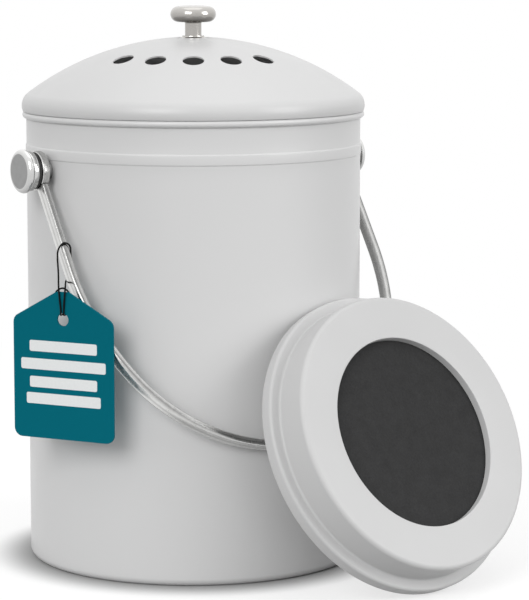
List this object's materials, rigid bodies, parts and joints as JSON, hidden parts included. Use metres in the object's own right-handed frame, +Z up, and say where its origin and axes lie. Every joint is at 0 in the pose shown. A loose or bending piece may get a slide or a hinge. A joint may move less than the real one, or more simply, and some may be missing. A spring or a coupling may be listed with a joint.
{
  "type": "compost_caddy",
  "caption": "Countertop compost caddy: steel bin with a lift-off vented dome lid, charcoal filter cartridge, a spare cartridge leaning on the bin, swinging bail handle and a blank hang tag",
  "frame": {"origin": "centre of the bin's base, on the surface that it stands on", "axes": "+Z up along the bin's axis; the handle's pivots lie along X; -Y is the front, where the handle rests"},
  "size_m": [0.235, 0.2617, 0.2912],
  "materials": {
    "powder_coat": "semi-gloss light grey",
    "nickel": "polished nickel",
    "screw_steel": "plain zinc-plated steel",
    "grey_plastic": "satin light grey",
    "charcoal_felt": "charcoal felt",
    "bail_steel": "satin steel",
    "button_metal": "satin face with a polished bevel",
    "black_rubber": "matt black",
    "tag_card": "teal printed card",
    "black_string": "black waxed string"
  },
  "bodies": {
    "bin": {"bin_body": "powder_coat", "pivot_spacer_left": "bail_steel", "pivot_spacer_right": "bail_steel", "pivot_washer_left": "black_rubber", "pivot_washer_right": "black_rubber", "pivot_button_left": "button_metal", "pivot_button_right": "button_metal", "pivot_seal_left": "black_rubber", "pivot_seal_right": "black_rubber", "pivot_screw_left": "screw_steel", "pivot_screw_right": "screw_steel"},
    "lid": {"lid_shell": "powder_coat", "lid_inner_ring": "powder_coat", "lid_knob": "nickel", "lid_knob_collar": "nickel", "lid_knob_washer": "screw_steel", "lid_knob_screw": "screw_steel"},
    "filter": {"filter_holder": "grey_plastic", "filter_pad": "charcoal_felt"},
    "bail": {"bail_handle": "bail_steel", "tag_string": "black_string", "string_knot": "black_string"},
    "tag": {"hang_tag": "tag_card", "string_hitch": "black_string"},
    "spare": {"spare_holder": "grey_plastic", "spare_pad": "charcoal_felt"}
  },
  "joints": [
    {"name": "lid_lift", "type": "slide", "parent": "bin", "child": "lid", "axis": [0, 0, 1], "range_m": [0, 0.22]},
    {"name": "filter_release", "type": "slide", "parent": "lid", "child": "filter", "axis": [0, 0, -1], "range_m": [0, 0.05]},
    {"name": "bail_swing", "type": "hinge", "parent": "bin", "child": "bail", "pos_m": [0, 0, 0.2086], "axis": [-1, 0, 0], "range_deg": [0, 292]},
    {"name": "tag_swing", "type": "hinge", "parent": "bail", "child": "tag", "pos_m": [-0.1013, -0.0385, 0.1392], "axis": [-0.5, 0.866, 0], "range_deg": [0, 13]},
    {"name": "spare_away", "type": "slide", "parent": "bin", "child": "spare", "axis": [0, -1, 0], "range_m": [0, 0.7135]}
  ],
  "couplings": [
    {"joint": "spare_away", "follows": "bail_swing", "m_per_rad": 0.14}
  ]
}
